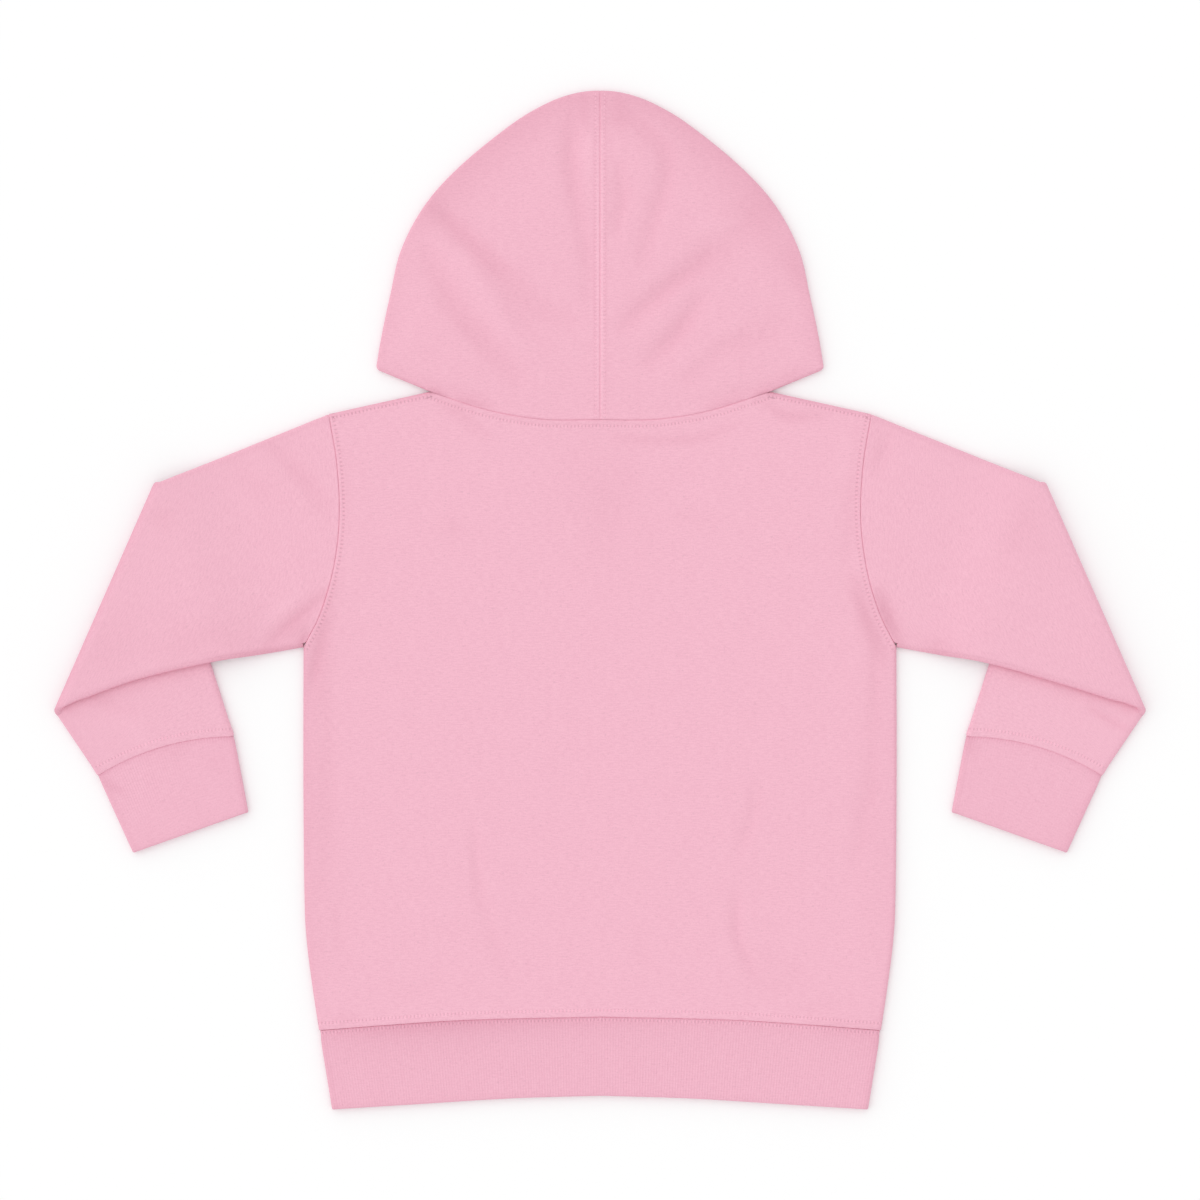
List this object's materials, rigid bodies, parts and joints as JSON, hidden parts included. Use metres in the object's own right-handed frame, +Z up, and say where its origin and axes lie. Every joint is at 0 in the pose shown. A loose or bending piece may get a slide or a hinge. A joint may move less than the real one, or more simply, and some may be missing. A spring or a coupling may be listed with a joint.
{
  "type": "toddler hoodie",
  "caption": "Plain pullover hoodie for a toddler in pink fleece, laid flat with the back up, hood spread and forearms folded under, with rib cuffs and waistband.",
  "frame": {"origin": "on the surface that the garment lies on, under the middle of its length and width", "axes": "+Z up from the surface, through the back of the garment; +Y towards the hood; +X towards the wearer's right side"},
  "size_m": [0.6098, 0.5701, 0.0089],
  "materials": {
    "fleece": "matt pink sweatshirt fleece, fine knit face",
    "hood_fleece": "matt pink sweatshirt fleece, fine knit face",
    "rib": "matt pink rib knit"
  },
  "bodies": {
    "root": {"back_panel": "fleece", "front_panel": "fleece", "sleeve_left": "fleece", "sleeve_right": "fleece", "hood_left": "hood_fleece", "hood_right": "hood_fleece", "cuff_left": "rib", "cuff_right": "rib", "waistband": "rib"}
  },
  "joints": []
}
